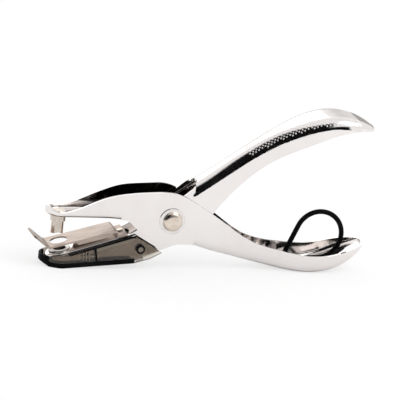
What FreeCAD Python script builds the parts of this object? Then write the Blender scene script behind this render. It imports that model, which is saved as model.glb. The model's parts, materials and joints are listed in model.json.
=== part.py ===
"""One-hole hand punch: two pressed steel levers on a rivet, a punch pin, a die and a chip catcher.

Everything is drawn round the pivot axis, which runs along Y through the origin, with the jaws towards -X
and the handles towards +X.  The last step moves the whole punch so that its bounding box stands on Z = 0
with its middle on the Z axis.
"""
import FreeCAD, Part
import math
import os

# ---- sheet metal ----
SHEET = 1.2                    # thickness of both pressed levers
RUNNING_GAP = 0.3              # side play between parts that move past each other
CHEEK_WIDTH = 18.0             # over the outer cheeks at the pivot

# ---- outer lever: upper jaw and lower handle ----
PIN_REACH = 55.3               # pivot to punch axis
NOSE_LENGTH = 6.7              # punch axis to the front of the upper jaw
JAW_RIM_FRONT = 2.6            # rim height beside the punch pin
NOSE_LIP = 5.2                 # rim height at the front lip
JAW_HALF = 7.0                 # half width of the upper jaw
NOSE_ROUND = 1.15              # length of a rounded nose over its half width
JAW_BEND = 2.1                 # outside bend radius under the upper jaw
CHEEK_TOP = 14.4               # top of the outer cheeks above the pivot
CHEEK_BOTTOM = 11.8            # bottom of the outer cheeks below the pivot
CHEEK_FRONT = 19.0             # the cheeks are flat and parallel from this far in front of the pivot
CHEEK_REAR = 18.0              # to this far behind it
JAW_PARALLEL = 36.0            # pivot to the rear end of the upper jaw's straight sides
JAW_WEB_END = 24.0             # pivot to the rear end of the upper jaw's web
HANDLE_WEB_START = 12.0        # pivot to the front end of the lower handle's web
HANDLE_REACH = 103.0           # pivot to the tip of the lower handle
HANDLE_TIP_DROP = 12.8         # tip of the lower handle below the pivot
TIP_HEIGHT = 2.3               # height of the walls at the tips of both handles
BELLY_DROP = 25.0              # lowest point of the lower handle below the pivot
BELLY_REACH = 70.0             # pivot to that point
WAIST_HALF = 6.9               # half width of the lower handle at the waist
WAIST_REACH = 38.0             # pivot to the waist
BELLY_HALF = 12.5              # half width of both handles where they are widest
WIDEST_REACH = 84.0            # pivot to that place
HANDLE_BEND = 3.4              # outside bend radius of both handles

# ---- inner lever: lower jaw and upper handle ----
CLOSE_ANGLE = 10.5             # travel of the inner lever, degrees
JAW_SLOPE = 17.7               # slope of the lower jaw when open, degrees
DIE_DROP = 7.2                 # top of the die below the pivot, jaws closed
DIE_PROUD = 0.8                # how far the die stands out of the lower jaw
LOWER_NOSE = 60.2              # pivot to the front of the lower jaw
LOWER_NOSE_DEPTH = 1.4         # height of the lower jaw's skirt at its nose
LOWER_WEB_END = 21.5           # pivot to the rear end of the lower jaw's web
LOWER_BEND = 0.9               # outside bend radius of the lower jaw
SKIRT_DROP = 18.3              # deepest point of the lower jaw's skirt below the pivot
INNER_BOSS = 13.0              # radius of the inner cheeks round the pivot
GRIP_START = 20.7              # where the upper handle's lower edge leaves the outer lever
INNER_FLAT = 8.0               # the inner cheeks are flat and parallel to this far behind the pivot
INNER_WAIST_HALF = 6.6         # half width of the upper handle at the waist
INNER_WAIST_REACH = 34.0       # pivot to that waist
UPPER_WEB_START = 10.5         # pivot to the front end of the upper handle's web
UPPER_REACH = 101.5            # pivot to the tip of the upper handle
UPPER_TIP_RISE = 48.8          # tip of the upper handle above the pivot
CROWN_RISE = 54.8              # crown of the upper handle above the pivot
CROWN_REACH = 81.0             # pivot to the crown
SCOOP_RADIUS = 5.4             # round notch in the front end of the upper handle's web
SCOOP_DEPTH = 2.5

# ---- pivot ----
RIVET_RADIUS = 3.0
RIVET_HEAD_RADIUS = 5.0
RIVET_HEAD_HEIGHT = 1.7
RIVET_HEAD_ROUND = 1.2
WASHER_RADIUS = 6.6
WASHER_THICKNESS = 0.5
SHAFT_CLEARANCE = 0.05
BUSH_WALL = 0.9

# ---- punch pin and die ----
PIN_RADIUS = 3.05
PIN_DROP = 9.4                 # tip of the pin below the jaw's face
COLLAR_RADIUS = 3.75
COLLAR_DROP = 2.9              # bottom of the collar below the jaw's face
STAKE_RADIUS = 3.8
STAKE_HEIGHT = 0.9
NOTCH_DEPTH = 0.9              # shear notch across the pin's tip
DIE_RADIUS = 5.4
DIE_HEIGHT = 3.0
DIE_LAND = 1.0                 # cutting land at the top of the die's bore
DIE_CLEARANCE = 0.26           # radial, because the pin comes down on an arc
DIE_RELIEF = 1.0               # the bore widens by this below the land
DIE_CHAMFER = 0.4

# ---- stripper leaf ----
LEAF_THICKNESS = 0.8
LEAF_HALF = 7.4
LEAF_SLOPE = 15.6              # degrees
LEAF_REAR = 25.6               # pivot to the rear end of the leaf's flat
LEAF_DROP = 5.3                # top of the leaf below the pivot, at that end
LEAF_FRONT = 60.0              # pivot to the crease of the lip
LEAF_HOLE_RADIUS = 4.4
LIP_RISE = 6.0
LIP_LENGTH = 8.0
LEAF_CORNER = 2.5
CREASE_RADIUS = 2.5
REAR_BEND = 2.0                # outside bend radius at the rear end of the leaf
FLANGE_DEPTH = 1.6
FLANGE_LENGTH = 20.0
FLANGE_SETBACK = 3.0           # rear end of the leaf to the rear end of its flanges
FOOT_LENGTH = 4.0
LEAF_RIVET_SETBACK = 2.2       # from the leaf's rear end back to its rivet
LEAF_RIVET_RADIUS = 1.0
LEAF_RIVET_HEAD = 1.6
LEAF_RIVET_HEIGHT = 0.6

# ---- chip catcher ----
CATCHER_WALL = 1.2
CATCHER_FRONT = 63.1           # pivot to the front of the catcher
CATCHER_RIM = 1.0              # catcher's rim below the top of the lower jaw
APEX_REACH = 16.1              # highest corner of the side walls
APEX_DROP = 8.7
TAIL_REACH = 3.6               # rear corner of the side walls
TAIL_DROP = 16.2
HEEL_REACH = 17.2              # rear end of the base
HEEL_DROP = 21.8
TOE_REACH = 53.0               # lowest point of the base
CATCHER_FLOOR = 1.0
CATCHER_FLOOR_END = 12.5       # pivot to the rear end of the catcher's floor
BASE_HEIGHT = 2.4
PIP_REACH = 14.7               # catcher's hinge
PIP_DROP = 14.5
PIP_RADIUS = 1.6
PIP_HEAD_RADIUS = 2.2
PIP_HEAD_HEIGHT = 0.5

# ---- return spring ----
SPRING_WIRE = 0.6              # wire radius
COIL_RADIUS = 5.9              # on the wire's centre line
COIL_TURNS = 4
COIL_GAP = 0.15                # between turns
SEAT_GAP = 0.3                 # between a spring leg and the web that it presses on
LOWER_LEG_REACH = 31.0
UPPER_LEG_REACH = 23.3

# ---- hang loop ----
LOOP_WIRE = 1.25               # wire radius
LOOP_RADIUS = 12.0             # round end, on the wire's centre line
EYE_RADIUS = 2.4               # round the loop's pin, on the wire's centre line
LOOP_PIN_REACH = 64.9          # pivot to the loop's pin
LOOP_PIN_DROP = 18.7
LOOP_LENGTH = 17.9             # loop's pin to the middle of the round end
LOOP_ANGLE = 35.5              # direction of that line above the horizontal
LOOP_PIN_CLEARANCE = 0.08
BRACKET_CLEARANCE = 0.02       # round the pin in the bracket, which holds it
BRACKET_SHEET = 0.7
BRACKET_LENGTH = 5.0
EAR_MARGIN = 0.9               # metal round the pin in the bracket's ears
LOOP_PIN_HEAD = 1.7
LOOP_PIN_HEAD_THICKNESS = 0.5

FAR = 200.0                    # longer than the punch, for cuts that run right through
Y_AXIS = FreeCAD.Vector(0, 1, 0)
Z_AXIS = FreeCAD.Vector(0, 0, 1)

CHEEK_HALF = CHEEK_WIDTH / 2
INNER_HALF = CHEEK_HALF - SHEET - RUNNING_GAP
NOSE_REACH = PIN_REACH + NOSE_LENGTH
COIL_PITCH = 2 * SPRING_WIRE + COIL_GAP


# ---- drawing helpers ----

def side(x, z):
    """A point on the middle plane."""
    return FreeCAD.Vector(x, 0, z)


def line(start, end):
    return Part.makeLine(start, end)


def arc(start, middle, end):
    return Part.Arc(start, middle, end).toShape()


def curve(points):
    """A smooth curve through the points."""
    spline = Part.BSplineCurve()
    spline.interpolate(points)
    return spline


def shifted(points, distance):
    """The points moved square off the side-view curve through them, downwards where the curve runs to +X."""
    path = curve(points)
    moved = []
    for point in points:
        tangent = path.tangent(path.parameter(point))[0]
        moved.append(point + Y_AXIS.cross(tangent).normalize() * distance)
    return moved


def prism(edges, direction, reach):
    """The closed outline pushed both ways along the direction."""
    face = Part.Face(Part.Wire(Part.__sortEdges__(edges)))
    face.translate(direction * -reach)
    return face.extrude(direction * (2 * reach))


def chain(points):
    return [line(start, end) for start, end in zip(points, points[1:])]


def between(solid, low, high):
    """The part of the solid between two x."""
    return solid.common(Part.makeBox(high - low, 2 * FAR, 2 * FAR, FreeCAD.Vector(low, -FAR, -FAR)))


def slab(points, low, high):
    """A polygon on the middle plane made solid from one Y to the other."""
    face = Part.Face(Part.Wire(chain(points + points[:1])))
    face.translate(Y_AXIS * low)
    return face.extrude(Y_AXIS * (high - low))


def across(radius, centre, low, high):
    """A cylinder along Y."""
    return Part.makeCylinder(radius, high - low, side(centre.x, centre.z) + Y_AXIS * low, Y_AXIS)


def opened(shape):
    """A shape drawn with the jaws closed, turned with the inner lever to where it is when they are open."""
    copy = shape.copy()
    copy.rotate(FreeCAD.Vector(), Y_AXIS, -CLOSE_ANGLE)
    return copy


def opened_point(point):
    return FreeCAD.Rotation(Y_AXIS, -CLOSE_ANGLE).multVec(point)


def rounded_along(solid, profile, radius):
    """Rounds the edges that run along the profile, seen from the side."""
    chosen = []
    for edge in solid.Edges:
        first, last = edge.ParameterRange
        marks = [edge.valueAt(first + (last - first) * part) for part in (0.2, 0.5, 0.8)]
        near = [profile.distToShape(Part.Vertex(side(mark.x, mark.z)))[0] < 0.01 for mark in marks]
        if all(near) and abs(marks[0].x - marks[-1].x) > 0.5:
            chosen.append(edge)
    return solid.makeFillet(radius, chosen)


def quarter(start, corner, end):
    """A quarter of an ellipse inside the corner between two points."""
    bend = Part.BezierCurve()
    bend.setPoles([start, corner, end])
    bend.setWeight(2, math.sqrt(0.5))
    return bend.toShape()


def ease(start, end):
    """An S-bend that leaves and arrives along X."""
    if abs(start.y - end.y) < 0.001:
        return line(start, end)
    middle = (start.x + end.x) / 2
    bend = Part.BezierCurve()
    bend.setPoles([start, FreeCAD.Vector(middle, start.y, 0), FreeCAD.Vector(middle, end.y, 0), end])
    return bend.toShape()


def plan_prism(nose, places, tip, inset=0.0):
    """The outline seen from above: level at the places (x, half width), with rounded ends."""
    points = [FreeCAD.Vector(x, half - inset, 0) for x, half in places]
    front = FreeCAD.Vector(nose + inset, 0, 0)
    rear = FreeCAD.Vector(tip - inset, 0, 0)
    left = [quarter(front, FreeCAD.Vector(front.x, points[0].y, 0), points[0])]
    left += [ease(start, end) for start, end in zip(points, points[1:])]
    left.append(quarter(points[-1], FreeCAD.Vector(rear.x, points[-1].y, 0), rear))
    right = [edge.mirror(FreeCAD.Vector(), Y_AXIS) for edge in left]
    return prism(left + right, Z_AXIS, FAR)


# ---- outer lever ----

def outer_plan(inset=0.0):
    nose_end = NOSE_ROUND * JAW_HALF - NOSE_REACH
    places = [(nose_end, JAW_HALF), (-JAW_PARALLEL, JAW_HALF), (-CHEEK_FRONT, CHEEK_HALF),
              (CHEEK_REAR, CHEEK_HALF), (WAIST_REACH, WAIST_HALF), (WIDEST_REACH, BELLY_HALF)]
    return plan_prism(-NOSE_REACH, places, HANDLE_REACH, inset)


def floor_points():
    """The underside of the lower handle, from the front end of its web to its tip."""
    return [side(HANDLE_WEB_START, -CHEEK_BOTTOM - SHEET / 2),
            side(0.44 * BELLY_REACH, -0.716 * BELLY_DROP),
            side(0.73 * BELLY_REACH, -0.904 * BELLY_DROP),
            side(BELLY_REACH, -BELLY_DROP),
            side(1.2 * BELLY_REACH, -0.924 * BELLY_DROP),
            side(0.922 * HANDLE_REACH, -1.39 * HANDLE_TIP_DROP),
            side(HANDLE_REACH, -HANDLE_TIP_DROP)]


def rim_points():
    """The upper edge of the outer lever, from the tip of its handle to the punch pin."""
    return [side(HANDLE_REACH, TIP_HEIGHT - HANDLE_TIP_DROP),
            side(0.883 * HANDLE_REACH, -1.06 * HANDLE_TIP_DROP),
            side(1.13 * BELLY_REACH, -0.644 * BELLY_DROP),
            side(0.857 * BELLY_REACH, -0.588 * BELLY_DROP),
            side(1.1 * WAIST_REACH, -0.4 * BELLY_DROP),
            side(0.71 * WAIST_REACH, -0.04 * CHEEK_TOP),
            side(0.61 * CHEEK_REAR, 0.653 * CHEEK_TOP),
            side(0.083 * CHEEK_REAR, 0.965 * CHEEK_TOP),
            side(-0.526 * CHEEK_FRONT, CHEEK_TOP),
            side(-0.434 * PIN_REACH, 0.91 * CHEEK_TOP),
            side(-0.705 * PIN_REACH, 0.57 * CHEEK_TOP),
            side(-0.904 * PIN_REACH, 0.25 * CHEEK_TOP),
            side(-PIN_REACH, JAW_RIM_FRONT)]


def jaw_face():
    """The underside of the upper jaw."""
    return line(side(-NOSE_REACH, 0), side(-JAW_WEB_END - 1.5 * SHEET, 0))


def outer_side():
    """The outer lever from the side: along the underside to the tip, and back along the rim to the nose."""
    throat = side(-0.8 * JAW_WEB_END, -0.254 * CHEEK_BOTTOM)
    throat_bend = side(-0.92 * JAW_WEB_END, -0.05 * CHEEK_BOTTOM)
    saddle_bend = side(-0.433 * JAW_WEB_END, -0.703 * CHEEK_BOTTOM)
    saddle = side(HANDLE_WEB_START / 6, -CHEEK_BOTTOM)
    saddle_end = side(HANDLE_WEB_START - SHEET, -CHEEK_BOTTOM)
    floor = floor_points()
    rim = rim_points()
    lip = side(SHEET - NOSE_REACH, NOSE_LIP)
    lip_front = side(-NOSE_REACH, NOSE_LIP - SHEET / 4)
    lip_bend = side(-PIN_REACH - NOSE_LENGTH / 2, 1.25 * JAW_RIM_FRONT)
    face = jaw_face()
    chin = face.Vertexes[0].Point
    face_end = face.Vertexes[1].Point
    return [face, arc(face_end, throat_bend, throat), arc(throat, saddle_bend, saddle),
            line(saddle, saddle_end), line(saddle_end, floor[0]), curve(floor).toShape(),
            line(floor[-1], rim[0]), curve(rim).toShape(), arc(rim[-1], lip_bend, lip),
            line(lip, lip_front), line(lip_front, chin)]


def outer_hollow():
    """The space inside the outer lever: above its two webs, and right through between them."""
    floor = shifted(floor_points(), -SHEET)
    floor_edge = curve(floor).toShape()
    corners = [floor[-1], side(FAR, floor[-1].z), side(FAR, FAR), side(floor[0].x, FAR), floor[0]]
    handle = prism([floor_edge] + chain(corners), Y_AXIS, FAR).common(outer_plan(SHEET))
    handle = rounded_along(handle, floor_edge, HANDLE_BEND - SHEET)
    web_end = side(-JAW_WEB_END, SHEET)
    corners = [side(-FAR, SHEET), web_end, side(-JAW_WEB_END, FAR), side(-FAR, FAR)]
    jaw = slab(corners, -FAR, FAR).common(outer_plan(SHEET))
    jaw = rounded_along(jaw, line(corners[0], web_end), JAW_BEND - SHEET)
    middle = between(outer_plan(SHEET), -JAW_WEB_END, floor[0].x)
    return [handle, jaw, middle]


def make_outer_lever():
    blank = prism(outer_side(), Y_AXIS, FAR).common(outer_plan())
    face_end = jaw_face().Vertexes[1].Point.x
    jaw = rounded_along(between(blank, -FAR, face_end), jaw_face(), JAW_BEND)
    handle = between(blank, HANDLE_WEB_START, FAR)
    handle = rounded_along(handle, curve(floor_points()).toShape(), HANDLE_BEND)
    lever = between(blank, face_end, HANDLE_WEB_START).fuse([jaw, handle]).cut(outer_hollow())
    lever = lever.cut(across(RIVET_RADIUS + SHAFT_CLEARANCE, side(0, 0), -CHEEK_WIDTH, CHEEK_WIDTH))
    return lever.cut(Part.makeCylinder(PIN_RADIUS, 2 * SHEET, side(-PIN_REACH, -SHEET / 2)))


# ---- inner lever ----

def die_centre():
    """The middle of the die's top, jaws closed: halfway along the pin tip's arc through the bore."""
    entry = math.asin((PIN_DROP - DIE_DROP) / PIN_REACH)
    sweep = PIN_DROP * math.sin(entry) - PIN_REACH * (1 - math.cos(entry))
    return side(-PIN_REACH - sweep / 2, -DIE_DROP)


def jaw_top(x, depth=0.0):
    """The point of the lower jaw's upper face at this x, jaws open, or as far below it as the depth."""
    die = opened_point(die_centre())
    slope = math.radians(JAW_SLOPE)
    return side(x, die.z + (x - die.x) * math.tan(slope) - (DIE_PROUD + depth) / math.cos(slope))


def inner_plan(inset=0.0):
    nose_end = NOSE_ROUND * INNER_HALF - LOWER_NOSE
    places = [(nose_end, INNER_HALF), (INNER_FLAT, INNER_HALF), (INNER_WAIST_REACH, INNER_WAIST_HALF),
              (WIDEST_REACH, BELLY_HALF)]
    return plan_prism(-LOWER_NOSE, places, UPPER_REACH, inset)


def crown_points():
    """The top of the upper handle, from its front end to its tip."""
    return [side(UPPER_WEB_START, 0.323 * CROWN_RISE),
            side(0.37 * CROWN_REACH, 0.573 * CROWN_RISE),
            side(0.586 * CROWN_REACH, 0.788 * CROWN_RISE),
            side(0.815 * CROWN_REACH, 0.949 * CROWN_RISE),
            side(CROWN_REACH, CROWN_RISE),
            side(0.916 * UPPER_REACH, 1.08 * UPPER_TIP_RISE),
            side(UPPER_REACH, UPPER_TIP_RISE)]


def grip_points():
    """The lower edge of the upper handle, from the outer lever's rim to the tip."""
    return [side(GRIP_START, 0.15 * GRIP_START),
            side(0.405 * CROWN_REACH, 0.325 * CROWN_RISE),
            side(0.614 * CROWN_REACH, 0.58 * CROWN_RISE),
            side(0.827 * CROWN_REACH, 0.748 * CROWN_RISE),
            side(0.828 * UPPER_REACH, 0.977 * UPPER_TIP_RISE),
            side(0.916 * UPPER_REACH, 0.992 * UPPER_TIP_RISE),
            side(UPPER_REACH, UPPER_TIP_RISE - TIP_HEIGHT)]


def skirt_points():
    """The lower edge of the lower jaw, from its nose to the pivot's boss."""
    return [jaw_top(-LOWER_NOSE) - Z_AXIS * LOWER_NOSE_DEPTH,
            side(-0.78 * LOWER_NOSE, -1.142 * SKIRT_DROP),
            side(-0.55 * LOWER_NOSE, -1.05 * SKIRT_DROP),
            side(-0.365 * LOWER_NOSE, -SKIRT_DROP),
            side(-0.244 * LOWER_NOSE, -SKIRT_DROP),
            side(-0.46 * INNER_BOSS, -1.23 * INNER_BOSS),
            side(0.154 * INNER_BOSS, -0.988 * INNER_BOSS)]


def front_points():
    """The front edge of the inner cheeks, from the upper handle's web down to the lower jaw's."""
    return [crown_points()[0],
            side(0.385 * INNER_BOSS, 0.946 * INNER_BOSS),
            side(0, 0.66 * INNER_BOSS),
            side(-0.46 * INNER_BOSS, 0.292 * INNER_BOSS),
            side(-0.92 * INNER_BOSS, -0.077 * INNER_BOSS),
            side(-0.79 * LOWER_WEB_END, -0.4 * INNER_BOSS),
            jaw_top(-LOWER_WEB_END)]


def inner_side():
    """The inner lever from the side: along its lower edge to the tip, and back along its webs to the nose."""
    skirt = skirt_points()
    grip = grip_points()
    crown = crown_points()
    nose = jaw_top(-LOWER_NOSE)
    boss_bend = side(0.707 * INNER_BOSS, -0.707 * INNER_BOSS)
    boss_end = side(0.969 * INNER_BOSS, -0.246 * INNER_BOSS)
    return [line(nose, skirt[0]), curve(skirt).toShape(), arc(skirt[-1], boss_bend, boss_end),
            line(boss_end, grip[0]), curve(grip).toShape(), line(grip[-1], crown[-1]),
            curve(crown).toShape(), curve(front_points()).toShape(), line(jaw_top(-LOWER_WEB_END), nose)]


def inner_hollow():
    """The space inside the inner lever: under its two webs, and right through between them."""
    roof = shifted(crown_points(), SHEET)
    roof_edge = curve(roof).toShape()
    corners = [roof[-1], side(FAR, roof[-1].z), side(FAR, -FAR), side(roof[0].x, -FAR), roof[0]]
    handle = prism([roof_edge] + chain(corners), Y_AXIS, FAR).common(inner_plan(SHEET))
    handle = rounded_along(handle, roof_edge, HANDLE_BEND - SHEET)
    corners = [jaw_top(-FAR, SHEET), side(-FAR, -FAR), side(-LOWER_WEB_END, -FAR),
               jaw_top(-LOWER_WEB_END, SHEET)]
    jaw = slab(corners, -FAR, FAR).common(inner_plan(SHEET))
    middle = between(inner_plan(SHEET), -LOWER_WEB_END, roof[0].x)
    scoop_reach = UPPER_WEB_START + SCOOP_DEPTH - SCOOP_RADIUS
    scoop = Part.makeCylinder(SCOOP_RADIUS, FAR, side(scoop_reach, INNER_BOSS))
    return [handle, jaw, middle, scoop]


def die_bore(radius, height, top=0.0):
    """A cylinder on the die's axis, jaws open, as far below the die's top as given."""
    base = die_centre() - Z_AXIS * (top + height)
    return opened(Part.makeCylinder(radius, height, base))


def make_inner_lever():
    blank = prism(inner_side(), Y_AXIS, FAR).common(inner_plan())
    crown = crown_points()
    top = line(jaw_top(-LOWER_NOSE), jaw_top(-LOWER_WEB_END))
    jaw = rounded_along(between(blank, -FAR, -LOWER_WEB_END), top, LOWER_BEND)
    handle = rounded_along(between(blank, crown[0].x, FAR), curve(crown).toShape(), HANDLE_BEND)
    lever = between(blank, -LOWER_WEB_END, crown[0].x).fuse([jaw, handle]).cut(inner_hollow())
    bore = RIVET_RADIUS + SHAFT_CLEARANCE
    pip_bore = PIP_RADIUS + SHAFT_CLEARANCE
    holes = [across(bore, side(0, 0), -CHEEK_WIDTH, CHEEK_WIDTH),
             across(pip_bore, side(-PIP_REACH, -PIP_DROP), -CHEEK_WIDTH, CHEEK_WIDTH),
             die_bore(DIE_RADIUS, DIE_HEIGHT), leaf_rivet_shaft(LEAF_RIVET_RADIUS)]
    return lever.cut(holes)


# ---- pivot ----

def domed(radius, height, centre, face, outward):
    """A round head with a rounded rim that lies on the face Y and points to the outward side."""
    head = Part.makeCylinder(radius, height, centre + Y_AXIS * face, Y_AXIS * outward)
    rim = [edge for edge in head.Edges if edge.Closed and abs(edge.CenterOfMass.y - face) > height / 2]
    return head.makeFillet(min(RIVET_HEAD_ROUND, 0.8 * height), rim)


def make_pivot_rivet():
    reach = CHEEK_HALF + WASHER_THICKNESS
    heads = [domed(RIVET_HEAD_RADIUS, RIVET_HEAD_HEIGHT, side(0, 0), way * reach, way) for way in (-1, 1)]
    return across(RIVET_RADIUS, side(0, 0), -reach, reach).fuse(heads).removeSplitter()


def ring(outer, inner, low, high):
    return across(outer, side(0, 0), low, high).cut(across(inner, side(0, 0), low, high))


def make_washer(way):
    faces = sorted((way * CHEEK_HALF, way * (CHEEK_HALF + WASHER_THICKNESS)))
    return ring(WASHER_RADIUS, RIVET_RADIUS + SHAFT_CLEARANCE, *faces)


def make_spacer_bush():
    bore = RIVET_RADIUS + SHAFT_CLEARANCE
    reach = INNER_HALF - SHEET - RUNNING_GAP
    return ring(bore + BUSH_WALL, bore, -reach, reach)


# ---- return spring ----

def tangent_point(target, way):
    """Where a line from the target touches the coil, on the given side of it."""
    angle = math.atan2(target.z, target.x) + way * math.acos(COIL_RADIUS / target.Length)
    return side(COIL_RADIUS * math.cos(angle), COIL_RADIUS * math.sin(angle))


def coil(turns, start, low):
    """Whole turns of wire round the pivot, from the start point at Y = low."""
    helix = Part.Wire(Part.makeHelix(COIL_PITCH, turns * COIL_PITCH, COIL_RADIUS).Edges)
    section = Part.Wire(Part.makeCircle(SPRING_WIRE, FreeCAD.Vector(COIL_RADIUS, 0, 0), Y_AXIS))
    wire = helix.makePipeShell([section], True, True)
    wire.rotate(FreeCAD.Vector(), FreeCAD.Vector(1, 0, 0), -90)
    wire.rotate(FreeCAD.Vector(), Y_AXIS, -math.degrees(math.atan2(start.z, start.x)))
    wire.translate(Y_AXIS * low)
    return wire


def leg(start, end, y):
    """A straight piece of spring wire with rounded ends."""
    first = start + Y_AXIS * y
    last = end + Y_AXIS * y
    rod = Part.makeCylinder(SPRING_WIRE, (last - first).Length, first, last - first)
    return rod.fuse([Part.makeSphere(SPRING_WIRE, first), Part.makeSphere(SPRING_WIRE, last)])


def spring_places():
    """Y of the coil's first turn and of the last turn, which lies apart from the coil."""
    apart = 2 * SPRING_WIRE + RUNNING_GAP
    width = COIL_TURNS * COIL_PITCH + apart + COIL_PITCH
    return -width / 2, width / 2 - COIL_PITCH


def seat(points, reach, way):
    """The middle of a leg's rounded end, beside the web whose far face runs through the points."""
    path = curve(points)
    upright = Part.LineSegment(side(reach, -FAR), side(reach, FAR))
    place = path.parameter(path.intersectCC(upright)[0].toShape().Point)
    square = Y_AXIS.cross(path.tangent(place)[0]).normalize()
    return path.value(place) + square * (way * (SHEET + SEAT_GAP + SPRING_WIRE))


def make_return_spring():
    end = seat(floor_points(), LOWER_LEG_REACH, -1)
    start = tangent_point(end, -1)
    low = spring_places()[0]
    return coil(COIL_TURNS, start, low).fuse(leg(start, end, low)).removeSplitter()


def make_spring_upper_leg():
    end = seat(crown_points(), UPPER_LEG_REACH, 1)
    start = tangent_point(end, 1)
    low = spring_places()[1]
    return coil(1, start, low).fuse(leg(start, end, low + COIL_PITCH)).removeSplitter()


# ---- punch pin and die ----

def make_punch_pin():
    axis = side(-PIN_REACH, 0)
    top = SHEET + STAKE_HEIGHT
    pin = Part.makeCylinder(PIN_RADIUS, PIN_DROP + top, axis - Z_AXIS * PIN_DROP)
    collar = Part.makeCylinder(COLLAR_RADIUS, COLLAR_DROP, axis - Z_AXIS * COLLAR_DROP)
    stake = Part.makeCylinder(STAKE_RADIUS, STAKE_HEIGHT, axis + Z_AXIS * SHEET)
    upper = [edge for edge in stake.Edges if edge.CenterOfMass.z > top - 0.01]
    stake = stake.makeChamfer(STAKE_HEIGHT / 2, upper)
    tip = axis - Z_AXIS * PIN_DROP
    reach = FreeCAD.Vector(PIN_RADIUS + 1, 0, 0)
    drop = Z_AXIS * (NOTCH_DEPTH / PIN_RADIUS)
    notch = slab([tip - reach - drop, tip + reach - drop, tip + Z_AXIS * NOTCH_DEPTH], -FAR, FAR)
    return pin.fuse([collar, stake]).removeSplitter().cut(notch)


def make_die_bush():
    bush = Part.makeCylinder(DIE_RADIUS, DIE_HEIGHT, die_centre() - Z_AXIS * DIE_HEIGHT)
    top = [edge for edge in bush.Edges if edge.Closed and edge.CenterOfMass.z > -DIE_DROP - 0.01]
    bush = opened(bush.makeChamfer(DIE_CHAMFER, top))
    bore = PIN_RADIUS + DIE_CLEARANCE
    relief = die_bore(bore + DIE_RELIEF, DIE_HEIGHT - DIE_LAND, DIE_LAND)
    return bush.cut([die_bore(bore, DIE_HEIGHT), relief])


# ---- stripper leaf ----

def strip(points, thickness):
    """The outline of a bent sheet: its upper face runs through the points, front to rear."""
    ways = [(end - start).normalize() for start, end in zip(points, points[1:])]
    lower = []
    for point, before, after in zip(points, ways[:1] + ways, ways + ways[-1:]):
        normals = Y_AXIS.cross(before) + Y_AXIS.cross(after)
        lower.append(point + normals * (thickness / (1 + before.dot(after))))
    return points + list(reversed(lower))


def leaf_points():
    """The leaf's upper face from the lip's front edge, over the riser, to the end of the foot."""
    slope = math.tan(math.radians(LEAF_SLOPE))
    rear = side(-LEAF_REAR, -LEAF_DROP)
    crease = side(-LEAF_FRONT, -LEAF_DROP - (LEAF_FRONT - LEAF_REAR) * slope)
    foot = jaw_top(-LEAF_REAR, -LEAF_THICKNESS)
    foot_end = jaw_top(FOOT_LENGTH - LEAF_REAR, -LEAF_THICKNESS)
    return [crease + side(-LIP_LENGTH, LIP_RISE), crease, rear, foot, foot_end]


def leaf_rivet_shaft(radius, low=-3 * SHEET, high=3 * SHEET):
    """A cylinder at the leaf's rivet, square to the lower jaw's web, between two heights over the web."""
    up = FreeCAD.Rotation(Y_AXIS, -JAW_SLOPE).multVec(Z_AXIS)
    centre = jaw_top(LEAF_RIVET_SETBACK - LEAF_REAR)
    return Part.makeCylinder(radius, high - low, centre + up * low, up)


def cross_edges(solid, centre, reach):
    """The straight edges along Y that pass within reach of the centre."""
    return [edge for edge in solid.Edges if edge.BoundBox.YLength > LEAF_HALF
            and (edge.CenterOfMass - centre).Length < reach]


def make_stripper_leaf():
    points = leaf_points()
    crease, rear = points[1:3]
    outline = strip(points, LEAF_THICKNESS)
    under_rear = outline[-3]
    sheet = slab(outline, -LEAF_HALF, LEAF_HALF)
    sheet = sheet.makeFillet(CREASE_RADIUS, cross_edges(sheet, crease, 1.5 * LEAF_THICKNESS))
    sheet = sheet.makeFillet(REAR_BEND - LEAF_THICKNESS, cross_edges(sheet, under_rear, 0.1))
    sheet = sheet.makeFillet(REAR_BEND, cross_edges(sheet, rear, 0.1))
    corners = [edge for edge in sheet.Edges if edge.BoundBox.XMax < points[0].x + LEAF_THICKNESS
               and edge.BoundBox.YLength < 0.01]
    sheet = sheet.makeFillet(LEAF_CORNER, corners)
    along = (crease - rear).normalize()
    down = Y_AXIS.cross(along) * -1
    start = rear + along * FLANGE_SETBACK
    end = start + along * FLANGE_LENGTH
    drop = down * (LEAF_THICKNESS + FLANGE_DEPTH)
    flange = [start, end, end + along * -FLANGE_DEPTH + drop, start + along * FLANGE_DEPTH + drop]
    flanges = [slab(flange, way * LEAF_HALF - (way > 0) * LEAF_THICKNESS,
                    way * LEAF_HALF + (way < 0) * LEAF_THICKNESS) for way in (-1, 1)]
    sheet = sheet.fuse(flanges).removeSplitter()
    pin_hole = die_bore(LEAF_HOLE_RADIUS, PIN_DROP, -PIN_DROP + DIE_CHAMFER)
    return sheet.cut([pin_hole, leaf_rivet_shaft(LEAF_RIVET_RADIUS)])


def make_leaf_rivet():
    top = LEAF_THICKNESS
    shaft = leaf_rivet_shaft(LEAF_RIVET_RADIUS, -SHEET - LEAF_RIVET_HEIGHT, top + LEAF_RIVET_HEIGHT)
    heads = [leaf_rivet_shaft(LEAF_RIVET_HEAD, -SHEET - LEAF_RIVET_HEIGHT, -SHEET),
             leaf_rivet_shaft(LEAF_RIVET_HEAD, top, top + LEAF_RIVET_HEIGHT)]
    return shaft.fuse(heads).removeSplitter()


# ---- chip catcher ----

def catcher_plan(inset=0.0):
    nose_end = NOSE_ROUND * CHEEK_HALF - CATCHER_FRONT
    places = [(nose_end, CHEEK_HALF), (0, CHEEK_HALF)]
    return plan_prism(-CATCHER_FRONT, places, 2 * CHEEK_HALF, inset)


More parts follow.
